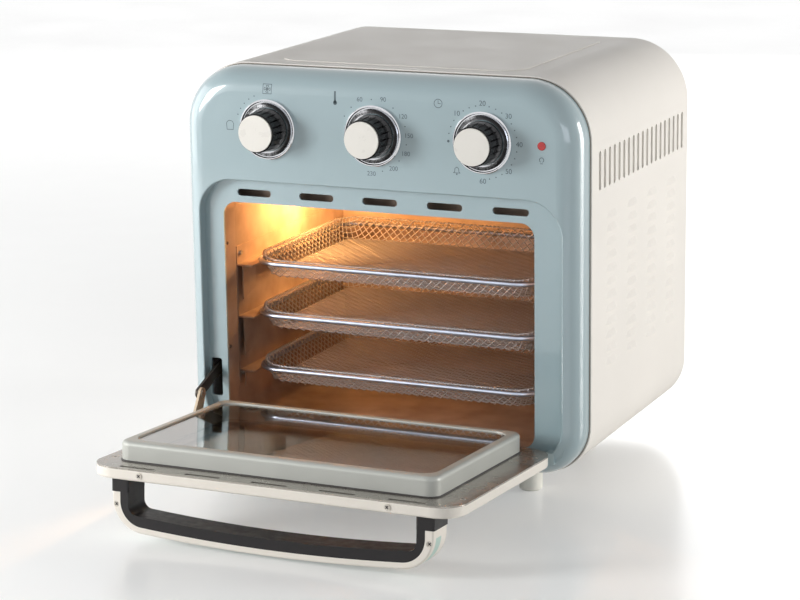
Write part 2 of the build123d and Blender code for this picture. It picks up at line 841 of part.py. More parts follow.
# Fan motor standing on the drum on four posts
with BuildPart() as fan_motor:
    with BuildSketch(Plane.XY.offset(motor_z)):
        with Locations((opening_shift, fan_y)):
            RectangleRounded(motor_width, motor_width, 2 * motor_post_radius)
    extrude(amount=motor_height)
    with BuildSketch(Plane.XY.offset(motor_z + motor_height)):
        with Locations((opening_shift, fan_y)):
            Circle(motor_can_radius)
    extrude(amount=motor_can_height)
    post_pitch = motor_width - 4 * motor_post_radius
    with BuildSketch(Plane.XY.offset(housing_top_z)):
        with Locations((opening_shift, fan_y)):
            with GridLocations(post_pitch, post_pitch, 2, 2):
                Circle(motor_post_radius)
    extrude(amount=motor_stand)
    with BuildSketch(Plane.XY.offset(motor_z)):
        with Locations((opening_shift, fan_y)):
            Circle(fan_shaft_radius + shaft_clearance)
    extrude(amount=motor_height / 2 + shaft_clearance, mode=Mode.SUBTRACT)
export(fan_motor, "fan_motor")

# Controls: bezel, knob, cap, shaft and the switch body behind the panel
knob_face_y = front_y - knob_lift - knob_length
for knob_name, knob_x, (control_radius, control_length) in zip(
    knob_names, knob_xs, control_sizes
):
    knob_axis = Axis((knob_x, 0, knob_z), (0, 1, 0))
    radial_plane = Plane(origin=(knob_x, 0, knob_z), x_dir=(1, 0, 0), z_dir=(0, 0, 1))
    with BuildPart() as bezel:
        with BuildSketch(radial_plane):
            rim_y = front_y - bezel_rim
            rim_inner = bezel_radius - bezel_rim_slope - bezel_rim_width
            with BuildLine():
                Polyline(
                    (bezel_inner, front_y),
                    (bezel_radius, front_y),
                    (bezel_radius, rim_y + bezel_rim_slope),
                    (bezel_radius - bezel_rim_slope, rim_y),
                    (rim_inner, rim_y),
                    (rim_inner - bezel_rim_slope, front_y - bezel_floor),
                    (bezel_inner, front_y - bezel_floor),
                    close=True,
                )
            make_face()
        revolve(axis=knob_axis)
    export(bezel, f"{knob_name}_bezel")
    with BuildPart() as knob_body:
        with BuildSketch(radial_plane):
            with BuildLine():
                Polyline(
                    (0, front_y - knob_lift),
                    (knob_base_radius, front_y - knob_lift),
                    (knob_front_radius, knob_face_y + knob_edge),
                    (knob_front_radius - knob_edge, knob_face_y),
                    (0, knob_face_y),
                    close=True,
                )
            make_face()
        revolve(axis=knob_axis)
        with BuildSketch(knob_axis_plane(knob_x, front_y)):
            flute_circle = knob_front_radius + knob_flute_depth
            with PolarLocations(flute_circle, knob_flutes):
                RegularPolygon(2 * knob_flute_depth, 4)
        extrude(amount=2 * knob_length, mode=Mode.SUBTRACT)
        with BuildSketch(knob_axis_plane(knob_x, front_y)):
            Circle(knob_shaft_radius)
        extrude(amount=knob_lift + knob_shaft_seat, mode=Mode.SUBTRACT)
    export(knob_body, f"{knob_name}_knob_body")
    with BuildPart() as knob_cap:
        with BuildSketch(knob_axis_plane(knob_x, knob_face_y)):
            Circle(knob_cap_radius)
        extrude(amount=knob_cap_thickness)
    export(knob_cap, f"{knob_name}_knob_cap")
    with BuildPart() as knob_shaft:
        shaft_back_y = front_y + fascia_wall + control_nose_length + knob_shaft_seat
        with BuildSketch(knob_axis_plane(knob_x, front_y - knob_lift - knob_shaft_seat)):
            Circle(knob_shaft_radius)
        extrude(amount=-(shaft_back_y - front_y + knob_lift + knob_shaft_seat))
    export(knob_shaft, f"{knob_name}_knob_shaft")
    with BuildPart() as control:
        nose_radius = knob_shaft_radius + 2 * panel_hole_clearance
        with BuildSketch(knob_axis_plane(knob_x, front_y + fascia_wall)):
            Circle(nose_radius)
        extrude(amount=-control_nose_length)
        with BuildSketch(
            knob_axis_plane(knob_x, front_y + fascia_wall + control_nose_length)
        ):
            Circle(control_radius)
        extrude(amount=-control_length)
        with BuildSketch(knob_axis_plane(knob_x, front_y + fascia_wall)):
            Circle(knob_shaft_radius + shaft_clearance)
        extrude(
            amount=-(control_nose_length + knob_shaft_seat + shaft_clearance),
            mode=Mode.SUBTRACT,
        )
    export(control, f"{knob_name}_control")

# Pilot lamp lens
with BuildPart() as indicator_lens:
    with BuildSketch(
        Plane(origin=(lens_x, front_y - lens_stand, knob_z), x_dir=(1, 0, 0), z_dir=(0, -1, 0))
    ):
        Circle(lens_radius)
    extrude(amount=-lens_length)
    fillet(indicator_lens.faces().sort_by(Axis.Y)[0].edges(), lens_stand * 0.9)
export(indicator_lens, "indicator_lens")

# Door pieces, drawn on planes parallel to the lowered door
tilt_sin = math.sin(math.radians(open_tilt))
tilt_cos = math.cos(math.radians(open_tilt))
door_plane = Plane(
    origin=(0, hinge_y, hinge_z), x_dir=(1, 0, 0), z_dir=(0, -tilt_sin, -tilt_cos)
)
door_axis = Axis(door_plane.origin, door_plane.z_dir)
door_half = door_thickness / 2
plate_under = door_half - door_plate


def door_level(n):
    """Plane at height n over the door's middle; extruding positive goes outwards."""
    return door_plane.offset(-n)


def door_outline(inset):
    """Door outline with its own corner radii, drawn in by inset."""
    with BuildSketch(mode=Mode.PRIVATE) as outline:
        with Locations((0, (door_length - door_tail) / 2)):
            Rectangle(door_width - 2 * inset, door_length + door_tail - 2 * inset)
        tail = outline.vertices().group_by(Axis.Y)[0]
        fillet(tail, door_tail_corner - inset)
        tip = outline.vertices().group_by(Axis.Y)[-1]
        fillet(tip, door_corner - inset)
    return outline.sketch


frame_length = frame_end - frame_start
frame_mid_t = (frame_start + frame_end) / 2
window_width = frame_width - 2 * frame_band_side
window_length = frame_length - 2 * frame_band_end
outer_window_width = window_width - 2 * outer_window_margin
outer_window_length = window_length - 2 * outer_window_margin
screw_spots = [(s * door_screw_x, t) for s in (-1, 1) for t in door_screw_ts]
screw_spots = [spot for spot in screw_spots if spot[0] > 0 or spot[1] > stay_bracket_end]

with BuildPart() as door_pan:
    with BuildSketch(door_level(-door_half)):
        add(door_outline(0))
    extrude(amount=-(door_thickness - door_plate))
    outer_face = door_pan.faces().sort_by(door_axis)[-1]
    fillet(outer_face.edges(), door_edge)
    with BuildSketch(door_level(-door_half + door_skin)):
        add(door_outline(door_skin))
    extrude(amount=-door_thickness, mode=Mode.SUBTRACT)
    with BuildSketch(door_level(-door_half)):
        with Locations((opening_shift, frame_mid_t)):
            RectangleRounded(outer_window_width, outer_window_length, window_corner)
    extrude(amount=-door_skin, mode=Mode.SUBTRACT)
    # barrels for the hinge pins and posts for the plate screws
    barrel_x = hinge_pin_inner + hinge_barrel_length / 2 - 2 * hinge_pin_radius
    with BuildSketch(door_level(-door_half + door_skin / 2)):
        with Locations((-barrel_x, door_half - door_tail), (barrel_x, door_half - door_tail)):
            Rectangle(hinge_barrel_length, door_thickness)
        with Locations(*screw_spots):
            Circle(door_screw_post)
    extrude(amount=-(door_thickness - door_plate - door_skin / 2))
    with Locations(Location(door_plane)):
        Cylinder(
            hinge_pin_radius + hinge_clearance,
            door_width,
            rotation=(0, 90, 0),
            mode=Mode.SUBTRACT,
        )
    with BuildSketch(door_level(plate_under)):
        with Locations(*screw_spots):
            Circle(door_screw_shank)
    extrude(amount=door_half, mode=Mode.SUBTRACT)
    edge_plane = Plane(
        origin=door_plane.from_local_coords((0, door_length, 0)),
        x_dir=(1, 0, 0),
        z_dir=door_plane.y_dir,
    )
    with BuildSketch(edge_plane):
        with Locations(*[(x, 0) for x in edge_screw_xs]):
            Circle(door_screw_shank)
    extrude(amount=-2 * door_skin, mode=Mode.SUBTRACT)
export(door_pan, "door_pan")

with BuildPart() as door_inner_plate:
    with BuildSketch(door_level(plate_under)):
        add(door_outline(0))
        with Locations((opening_shift, frame_mid_t)):
            RectangleRounded(
                window_width - 2 * glass_ledge,
                window_length - 2 * glass_ledge,
                window_corner,
                mode=Mode.SUBTRACT,
            )
        with Locations((0, plate_vent_t)):
            with GridLocations(face_vent_pitch, 1, face_vent_count, 1):
                SlotOverall(plate_vent_length, plate_vent_width, mode=Mode.SUBTRACT)
        with Locations(*screw_spots):
            Circle(door_screw_head + door_screw_clearance, mode=Mode.SUBTRACT)
    extrude(amount=-door_plate)
export(door_inner_plate, "door_inner_plate")

# Raised frame that fills the oven mouth when the door is shut
glass_n = door_half + frame_height - frame_lip - glass_thickness
with BuildPart() as door_inner_frame:
    with BuildSketch(door_level(door_half)):
        with Locations((opening_shift, frame_mid_t)):
            RectangleRounded(frame_width, frame_length, frame_corner)
    extrude(amount=-frame_height)
    with BuildSketch(door_level(door_half)):
        with Locations((opening_shift, frame_mid_t)):
            RectangleRounded(
                window_width - 2 * glass_ledge,
                window_length - 2 * glass_ledge,
                window_corner - glass_ledge,
            )
    extrude(amount=-frame_height, mode=Mode.SUBTRACT)
    with BuildSketch(door_level(glass_n)):
        with Locations((opening_shift, frame_mid_t)):
            RectangleRounded(window_width, window_length, window_corner)
    extrude(amount=-frame_height, mode=Mode.SUBTRACT)
    frame_top = door_inner_frame.faces().sort_by(door_axis)[0]
    fillet(frame_top.outer_wire().edges(), frame_edge)
    frame_top = door_inner_frame.faces().sort_by(door_axis)[0]
    fillet(frame_top.inner_wires()[0].edges(), frame_lip * 0.8)
export(door_inner_frame, "door_inner_frame")

with BuildPart() as inner_glass:
    with BuildSketch(door_level(glass_n)):
        with Locations((opening_shift, frame_mid_t)):
            RectangleRounded(
                window_width - 2 * glass_clearance,
                window_length - 2 * glass_clearance,
                window_corner - glass_clearance,
            )
    extrude(amount=-glass_thickness)
export(inner_glass, "inner_glass")

with BuildPart() as outer_glass:
    with BuildSketch(door_level(-door_half + door_skin)):
        with Locations((opening_shift, frame_mid_t)):
            RectangleRounded(
                outer_window_width + 2 * outer_glass_lap,
                outer_window_length + 2 * outer_glass_lap,
                window_corner,
            )
    extrude(amount=-outer_glass_thickness)
export(outer_glass, "outer_glass")

# Screws in the plate, in the free edge and in the handle's cheeks
handle_end = handle_start + handle_depth
handle_mid_t = handle_start + handle_depth / 2
handle_half = handle_width / 2
block_foot = door_half + handle_block_height
cheek_plane = Plane(
    origin=door_plane.from_local_coords((0, handle_end, 0)),
    x_dir=(1, 0, 0),
    z_dir=door_plane.y_dir,
)
handle_screw_x = handle_half - handle_shell_wall / 2
cheek_spots = [(s * handle_screw_x, -(block_foot + handle_screw_drop)) for s in (-1, 1)]
with BuildPart() as door_screws:
    with BuildSketch(door_level(plate_under)):
        with Locations(*screw_spots):
            Circle(door_screw_head)
    extrude(amount=-door_plate)
    with BuildSketch(door_level(plate_under)):
        with Locations(*screw_spots):
            Circle(door_screw_shank)
    extrude(amount=door_half)
    with BuildSketch(edge_plane):
        with Locations(*[(x, 0) for x in edge_screw_xs]):
            Circle(door_screw_head)
    extrude(amount=edge_screw_stand)
    with BuildSketch(edge_plane):
        with Locations(*[(x, 0) for x in edge_screw_xs]):
            Circle(door_screw_shank)
    extrude(amount=-2 * door_skin)
    with BuildSketch(cheek_plane.offset(-handle_screw_depth)):
        with Locations(*cheek_spots):
            Circle(door_screw_head)
    extrude(amount=handle_screw_depth / 2)
export(door_screws, "door_screws")

# Hinge pins pressed into the front moulding
with BuildPart() as hinge_pins:
    for side in (-1, 1):
        pin_x = side * (hinge_pin_inner + hinge_pin_length / 2)
        with Locations((pin_x, hinge_y, hinge_z)):
            Cylinder(hinge_pin_radius, hinge_pin_length, rotation=(0, 90, 0))
export(hinge_pins, "hinge_pins")

# Handle, drawn across its width: local y points outwards from the door
handle_plane = Plane(
    origin=door_plane.from_local_coords((0, handle_mid_t, 0)),
    x_dir=(1, 0, 0),
    z_dir=-door_plane.y_dir,
)


def handle_profile(half_width, reach, corner):
    """Area between the two arms, closed by the bowed bar at depth reach."""
    with BuildSketch(mode=Mode.PRIVATE) as profile:
        bow = handle_bow * (half_width / handle_half) ** 2
        with BuildLine():
            Line((-half_width, block_foot), (-half_width, reach - bow))
            ThreePointArc((-half_width, reach - bow), (0, reach), (half_width, reach - bow))
            Line((half_width, reach - bow), (half_width, block_foot))
            Line((half_width, block_foot), (-half_width, block_foot))
        make_face()
        fillet(profile.vertices().group_by(Axis.Y)[-1], corner)
    return profile.sketch


core_half = handle_half - handle_shell_wall
core_reach = handle_reach - handle_shell_bar
core_corner = handle_outer_corner - handle_shell_wall
grip_half = handle_half - handle_arm
grip_reach = handle_reach - handle_bar
with BuildPart() as handle_core:
    with BuildSketch(handle_plane):
        add(handle_profile(core_half, core_reach, core_corner))
        add(handle_profile(grip_half, grip_reach, handle_inner_corner), mode=Mode.SUBTRACT)
    extrude(amount=handle_depth / 2, both=True)
export(handle_core, "handle_core")

inlay_mid_t = handle_end - inlay_offset - inlay_width / 2
inlay_plane = handle_plane.offset(handle_mid_t - inlay_mid_t)
with BuildPart() as handle_shell:
    with BuildSketch(handle_plane):
        add(handle_profile(handle_half, handle_reach, handle_outer_corner))
    extrude(amount=handle_depth / 2, both=True)
    side_faces = handle_shell.faces().filter_by(Axis(handle_plane.origin, handle_plane.z_dir))
    foot_far = block_foot + 0.1
    rim_edges = [
        e
        for f in side_faces
        for e in f.edges()
        if handle_plane.to_local_coords(e.center()).Y > foot_far
    ]
    fillet(rim_edges, handle_edge)
    with BuildSketch(handle_plane):
        add(handle_profile(core_half, core_reach, core_corner))
    extrude(amount=handle_depth, both=True, mode=Mode.SUBTRACT)
    with BuildSketch(inlay_plane):
        add(handle_profile(handle_half, handle_reach, handle_outer_corner))
        add(
            handle_profile(
                handle_half - inlay_depth,
                handle_reach - inlay_depth,
                handle_outer_corner - inlay_depth,
            ),
            mode=Mode.SUBTRACT,
        )
        with Locations((0, block_foot)):
            Rectangle(handle_width, 2 * inlay_end, mode=Mode.SUBTRACT)
    extrude(amount=inlay_width / 2, both=True, mode=Mode.SUBTRACT)
    with BuildSketch(cheek_plane):
        with Locations(*cheek_spots):
            Circle(door_screw_head)
    extrude(amount=-handle_screw_depth, mode=Mode.SUBTRACT)
export(handle_shell, "handle_shell")

with BuildPart() as handle_inlay:
    with BuildSketch(inlay_plane):
        add(handle_profile(handle_half, handle_reach, handle_outer_corner))
        add(
            handle_profile(
                handle_half - inlay_depth,
                handle_reach - inlay_depth,
                handle_outer_corner - inlay_depth,
            ),
            mode=Mode.SUBTRACT,
        )
        with Locations((0, block_foot)):
            Rectangle(handle_width, 2 * inlay_end, mode=Mode.SUBTRACT)
    extrude(amount=inlay_width / 2, both=True)
export(handle_inlay, "handle_inlay")

for side, block_name in ((-1, "handle_block_left"), (1, "handle_block_right")):
    with BuildPart() as handle_block:
        block_x = side * (handle_half - handle_arm / 2)
        with BuildSketch(door_level(-door_half)):
            with Locations((block_x, handle_mid_t)):
                RectangleRounded(
                    handle_arm + 2 * handle_block_margin,
                    handle_depth + 2 * handle_block_margin,
                    handle_block_corner,
                )
        extrude(amount=handle_block_height)
    export(handle_block, block_name)

# Door stay: bracket on the door, lever through the slot, spring inside
bracket_outer_x = stay_bracket_x - stay_bracket_thickness


def stay_plane(x):
    """Plane across the stay: local x along the door, local y up from its middle."""
    return Plane(
        origin=(x, hinge_y, hinge_z),
        x_dir=door_plane.y_dir,
        z_dir=(-1, 0, 0),
    )


with BuildPart() as stay_bracket:
    with BuildSketch(stay_plane(stay_bracket_x)):
        with BuildLine():
            Polyline(
                (stay_bracket_start, door_half),
                (stay_bracket_end, door_half),
                (stay_pivot_t + stay_eye_radius * 0.94, stay_pivot_n + stay_eye_radius * 0.34),
                (stay_pivot_t - stay_eye_radius * 0.94, stay_pivot_n - stay_eye_radius * 0.34),
                close=True,
            )
        make_face()
        with Locations((stay_pivot_t, stay_pivot_n)):
            Circle(stay_eye_radius)
            Circle(stay_rivet_radius, mode=Mode.SUBTRACT)
    extrude(amount=stay_bracket_thickness)
export(stay_bracket, "stay_bracket")

pivot = door_plane.from_local_coords((0, stay_pivot_t, -stay_pivot_n))
lever_x = bracket_outer_x - stay_gap
lever_outer_x = lever_x - stay_lever_thickness
with BuildPart() as stay_rivet:
    with BuildSketch(Plane.YZ.offset(stay_bracket_x)):
        with Locations((pivot.Y, pivot.Z)):
            Circle(stay_rivet_head)
    extrude(amount=stay_rivet_head_height)
    with BuildSketch(Plane.YZ.offset(stay_bracket_x)):
        with Locations((pivot.Y, pivot.Z)):
            Circle(stay_rivet_radius)
    extrude(amount=lever_outer_x - stay_gap - stay_bracket_x)
    with BuildSketch(Plane.YZ.offset(lever_outer_x - stay_gap)):
        with Locations((pivot.Y, pivot.Z)):
            Circle(stay_rivet_head)
    extrude(amount=-stay_rivet_head_height)
export(stay_rivet, "stay_rivet")

lever_run = stay_lever_length * math.cos(math.radians(stay_lever_rise))
lever_climb = stay_lever_length * math.sin(math.radians(stay_lever_rise))
with BuildPart() as stay_lever:
    with BuildSketch(Plane.YZ.offset(lever_x)):
        with Locations((pivot.Y + lever_run / 2, pivot.Z + lever_climb / 2)):
            SlotCenterToCenter(
                stay_lever_length, 2 * stay_eye_radius, rotation=stay_lever_rise
            )
        with Locations((pivot.Y, pivot.Z)):
            Circle(stay_rivet_radius + stay_rivet_clearance, mode=Mode.SUBTRACT)
        with Locations((pivot.Y + lever_run, pivot.Z + lever_climb)):
            Circle(stay_rivet_radius, mode=Mode.SUBTRACT)
    extrude(amount=-stay_lever_thickness)
export(stay_lever, "stay_lever")

# With the door shut the lever's eye stands just before the spring
shut_shift = Vector(0, hinge_y + stay_pivot_n - pivot.Y, hinge_z + stay_pivot_t - pivot.Z)
spring_y = pivot.Y + lever_run + shut_shift.Y + stay_eye_radius + spring_gap
spring_z = pivot.Z + lever_climb + shut_shift.Z
spring_x = (lever_x + lever_outer_x) / 2
anchor_y = spring_y + spring_length + spring_anchor_radius
with BuildPart() as stay_spring:
    with BuildSketch(Plane(origin=(spring_x, spring_y, spring_z), x_dir=(1, 0, 0), z_dir=(0, 1, 0))):
        Circle(spring_radius)
        Circle(spring_radius - spring_wire, mode=Mode.SUBTRACT)
    extrude(amount=spring_length)
export(stay_spring, "stay_spring")

liner_outer_x = opening_shift - cavity_half - cavity_wall
anchor_length = liner_outer_x - spring_x + spring_radius
with BuildPart() as spring_anchor:
    with BuildSketch(Plane.YZ.offset(liner_outer_x)):
        with Locations((anchor_y, spring_z)):
            Circle(spring_anchor_radius)
    extrude(amount=-anchor_length)
export(spring_anchor, "spring_anchor")
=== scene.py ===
import json
import math

import bmesh
import bpy
from mathutils import Matrix, Vector

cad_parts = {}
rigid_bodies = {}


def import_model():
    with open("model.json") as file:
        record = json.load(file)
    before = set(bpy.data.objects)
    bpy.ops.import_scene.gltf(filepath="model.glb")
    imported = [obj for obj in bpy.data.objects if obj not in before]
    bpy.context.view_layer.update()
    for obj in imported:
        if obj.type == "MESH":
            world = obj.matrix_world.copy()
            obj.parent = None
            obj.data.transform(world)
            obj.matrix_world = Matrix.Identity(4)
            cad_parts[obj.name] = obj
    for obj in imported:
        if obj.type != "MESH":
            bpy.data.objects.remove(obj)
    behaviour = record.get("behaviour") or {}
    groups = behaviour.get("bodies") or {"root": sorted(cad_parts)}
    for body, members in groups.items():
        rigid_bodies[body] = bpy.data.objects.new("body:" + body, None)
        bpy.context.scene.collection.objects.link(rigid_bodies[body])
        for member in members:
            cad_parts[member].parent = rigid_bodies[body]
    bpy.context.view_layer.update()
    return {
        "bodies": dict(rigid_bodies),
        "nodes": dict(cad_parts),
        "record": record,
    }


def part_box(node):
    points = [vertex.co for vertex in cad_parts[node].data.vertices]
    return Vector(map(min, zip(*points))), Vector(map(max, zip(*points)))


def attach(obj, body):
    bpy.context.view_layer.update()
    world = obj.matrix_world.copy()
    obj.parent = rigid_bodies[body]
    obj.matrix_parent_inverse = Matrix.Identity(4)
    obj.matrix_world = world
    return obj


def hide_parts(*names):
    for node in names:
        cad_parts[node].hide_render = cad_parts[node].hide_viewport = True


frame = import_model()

nodes = frame["nodes"]
mm = 0.001  # everything below is in metres
basket_levels = (1, 2, 3)
dials = ("function", "temperature", "timer")


# ---------------------------------------------------------------- finishes
noise_low, noise_high = 0.3, 0.7  # most of a noise texture's values lie between these
patch_detail, gloss_detail, grain_detail = 3.0, 4.0, 2.0
least_roughness = 0.02


def tone(red, green, blue):
    """Linear colour of a tone given as 0 to 255 per channel."""
    linear = []
    for value in (red / 255, green / 255, blue / 255):
        linear.append(value / 12.92 if value <= 0.04045 else ((value + 0.055) / 1.055) ** 2.4)
    return (*linear, 1.0)


def shade(colour, factor):
    """The colour, made lighter or darker by a factor."""
    return (*[min(1.0, channel * factor) for channel in colour[:3]], 1.0)


class Finish:
    """A procedural surface: patchy colour, uneven gloss and a fine relief.

    Further sockets of the shader are given by name, with _ in place of a space.
    """

    def __init__(self, name, colour, roughness, metallic=0.0, **sockets):
        self.name = name
        self.colour = colour
        self.roughness = roughness
        self.material = bpy.data.materials.new(name)
        self.material.use_nodes = True
        self.tree = self.material.node_tree
        self.shader = self.tree.nodes["Principled BSDF"]
        sockets |= {"Base_Color": colour, "Roughness": roughness, "Metallic": metallic}
        for socket, value in sockets.items():
            self.shader.inputs[socket.replace("_", " ")].default_value = value
        self.place = self.node("ShaderNodeTexCoord").outputs["Object"]

    def node(self, kind):
        return self.tree.nodes.new(kind)

    def link(self, source, target):
        self.tree.links.new(source, target)

    def stretched(self, stretch):
        """Coordinates squeezed along one axis, for brushed or drawn grain."""
        mapping = self.node("ShaderNodeMapping")
        mapping.inputs["Scale"].default_value = stretch
        self.link(self.place, mapping.inputs["Vector"])
        return mapping.outputs["Vector"]

    def noise(self, size, detail, stretch=None):
        made = self.node("ShaderNodeTexNoise")
        made.inputs["Scale"].default_value = 1.0 / size
        made.inputs["Detail"].default_value = detail
        self.link(self.stretched(stretch) if stretch else self.place, made.inputs["Vector"])
        return made.outputs["Fac"]

    def spread(self, source, low, high, start=noise_low, end=noise_high):
        """A value between low and high, as the source goes from start to end."""
        made = self.node("ShaderNodeMapRange")
        made.inputs["From Min"].default_value = start
        made.inputs["From Max"].default_value = end
        made.inputs["To Min"].default_value = low
        made.inputs["To Max"].default_value = high
        self.link(source, made.inputs["Value"])
        return made.outputs["Result"]

    def patches(self, size, amount, other=None):
        """Colour that drifts between two near tones over patches of this size."""
        ramp = self.node("ShaderNodeValToRGB")
        darker, lighter = ramp.color_ramp.elements
        darker.position, lighter.position = noise_low, noise_high
        darker.color = shade(other or self.colour, 1 - amount)
        lighter.color = shade(self.colour, 1 + amount)
        self.link(self.noise(size, patch_detail), ramp.inputs["Fac"])
        self.link(ramp.outputs["Color"], self.shader.inputs["Base Color"])
        return self

    def gloss(self, size, amount):
        """Roughness that varies by this amount either way."""
        low, high = max(least_roughness, self.roughness - amount), self.roughness + amount
        varied = self.spread(self.noise(size, gloss_detail), low, high)
        self.link(varied, self.shader.inputs["Roughness"])
        return self

    def grain(self, size, depth, stretch=None):
        """Surface relief of this depth."""
        bump = self.node("ShaderNodeBump")
        bump.inputs["Strength"].default_value = 1.0
        bump.inputs["Distance"].default_value = depth
        self.link(self.noise(size, grain_detail, stretch), bump.inputs["Height"])
        self.link(bump.outputs["Normal"], self.shader.inputs["Normal"])
        return self


brushed_x = (0.02, 1.0, 1.0)
brushed_z = (1.0, 1.0, 0.02)

slot_finishes = (
    Finish(
        "panel_paint", tone(151, 172, 177), 0.32,
        Coat_Weight=1.0, Coat_IOR=1.7, Coat_Roughness=0.07,
    ).patches(0.08, 0.012).gloss(0.03, 0.02).grain(0.0016, 0.000006),
    Finish("case_paint", tone(236, 231, 224), 0.55, Specular_IOR_Level=0.25)
    .patches(0.09, 0.018).gloss(0.03, 0.05).grain(0.0013, 0.000018),
    Finish("base_sheet", tone(176, 178, 180), 0.42, 0.9)
    .patches(0.012, 0.09, tone(150, 154, 158)).gloss(0.01, 0.08),
    Finish("foot_plastic", tone(240, 238, 228), 0.5)
    .patches(0.01, 0.03).gloss(0.004, 0.06).grain(0.0008, 0.00003),
    Finish("cavity_steel", tone(182, 162, 148), 0.36, 0.6)
    .patches(0.03, 0.1, tone(160, 138, 122)).gloss(0.02, 0.08).grain(0.002, 0.00002, brushed_x),
    Finish("basket_wire", tone(196, 194, 194), 0.4, 0.9)
    .patches(0.01, 0.06).gloss(0.006, 0.06),
    Finish("bezel_chrome", tone(222, 223, 226), 0.08, 1.0)
    .patches(0.02, 0.02).gloss(0.01, 0.03),
    Finish("knob_black", tone(12, 10, 11), 0.3, Specular_IOR_Level=0.3)
    .patches(0.008, 0.15).gloss(0.004, 0.06).grain(0.0006, 0.00002),
    Finish("knob_cream", tone(230, 226, 218), 0.3, Coat_Weight=0.3, Coat_Roughness=0.1)
    .patches(0.02, 0.015).gloss(0.01, 0.04),
    Finish("door_cream", tone(230, 223, 212), 0.36, Coat_Weight=0.3, Coat_Roughness=0.15)
    .patches(0.05, 0.02).gloss(0.02, 0.05).grain(0.0014, 0.000012),
    Finish("door_satin", tone(160, 155, 147), 0.26, 0.7)
    .patches(0.04, 0.04).gloss(0.02, 0.03).grain(0.0009, 0.000002, brushed_x),
    Finish("handle_black", tone(25, 22, 23), 0.4, Specular_IOR_Level=0.35)
    .patches(0.01, 0.12).gloss(0.006, 0.06).grain(0.0007, 0.00003),
    Finish("inlay_teal", tone(176, 200, 190), 0.4)
    .patches(0.02, 0.03).gloss(0.008, 0.05),
    Finish("bracket_zinc", tone(178, 163, 142), 0.4, 0.6)
    .patches(0.008, 0.1).gloss(0.005, 0.08),
    Finish("lever_dark", tone(62, 56, 50), 0.4, 0.7)
    .patches(0.008, 0.15).gloss(0.004, 0.08).grain(0.0008, 0.00002, brushed_z),
    Finish("component_metal", tone(128, 128, 126), 0.45, 0.7)
    .patches(0.01, 0.08).gloss(0.006, 0.08),
    Finish("fan_aluminium", tone(180, 180, 180), 0.32, 1.0)
    .patches(0.015, 0.06).gloss(0.008, 0.08).grain(0.001, 0.00001, brushed_x),
    Finish("heater_tube", tone(96, 78, 66), 0.5, 0.6)
    .patches(0.01, 0.2, tone(70, 60, 58)).gloss(0.005, 0.08),
    Finish("hardware_steel", tone(176, 174, 170), 0.3, 0.9)
    .patches(0.004, 0.05).gloss(0.003, 0.06),
    Finish(
        "lens_red", tone(176, 14, 14), 0.14, Coat_Weight=0.8, Coat_Roughness=0.04,
        Emission_Color=tone(230, 30, 16), Emission_Strength=0.06,
    ).patches(0.003, 0.12),
    Finish("door_glass", tone(226, 219, 210), 0.02, IOR=2.1, Transmission_Weight=1.0)
    .patches(0.08, 0.03).gloss(0.05, 0.01),
)
finishes = {look.name: look for look in slot_finishes}

# nodes whose finish differs from the rest of their slot
rim_steel = Finish("rim_steel", tone(186, 194, 210), 0.34, 1.0)
rim_steel.patches(0.01, 0.05).gloss(0.006, 0.06)
own_finishes = {f"basket_rim_{level}": rim_steel for level in basket_levels}
own_finishes["door_inner_frame"] = (
    Finish("frame_satin", tone(176, 177, 171), 0.5, 0.3)
    .patches(0.04, 0.03).gloss(0.02, 0.06).grain(0.0009, 0.00001)
)
own_finishes["door_screws"] = (
    Finish("screw_heads", tone(202, 195, 184), 0.36, 0.3)
    .patches(0.002, 0.08).gloss(0.002, 0.08)
)
for part in frame["record"]["subparts"]:
    look = own_finishes.get(part["node"]) or finishes[part["material_slot"]]
    slots = nodes[part["node"]].data.materials
    slots.clear()
    slots.append(look.material)

# finishes that only the scene's own pieces have
print_ink = Finish("print_ink", tone(74, 90, 96), 0.5).patches(0.004, 0.1)
# painted shade of the gap in the seam between front and case
seam_gap_shade = Finish("seam_gap_shade", tone(124, 116, 106), 0.6).patches(0.004, 0.12)
# dark tone: painted shade of the screws' cross recesses, and the gasket's own colour together with
# painted shade of the crease at the door frame's foot
dark_gasket_and_painted_shade = Finish("dark_gasket_and_painted_shade", tone(52, 48, 46), 0.6).patches(0.0006, 0.2)


# ---------------------------------------------------------------- pieces
def show(name, data):
    """Adds an object with this data to the scene."""
    made = bpy.data.objects.new(name, data)
    bpy.context.scene.collection.objects.link(made)
    return made


def mesh_of(builder, name, smooth=False):
    """Ends a bmesh as mesh data."""
    bmesh.ops.recalc_face_normals(builder, faces=builder.faces)
    mesh = bpy.data.meshes.new(name)
    builder.to_mesh(mesh)
    builder.free()
    if smooth:
        mesh.shade_smooth()
    return mesh


def piece(name, builder, body, slot=None, finish=None, smooth=False):
    """Ends a bmesh as a piece that rides on a body, in a slot's finish or its own."""
    data = mesh_of(builder, name, smooth)
    data.materials.append((finish or finishes[slot]).material)
    made = show(name, data)
    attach(made, body)
    return made


def turns(count):
    """Angles of equal steps round a circle."""
    return [2 * math.pi * k / count for k in range(count)]


def join_rings(builder, one, two):
    """Faces between two rings of as many points."""
    for k in range(len(one)):
        n = (k + 1) % len(one)
        builder.faces.new((one[k], one[n], two[n], two[k]))


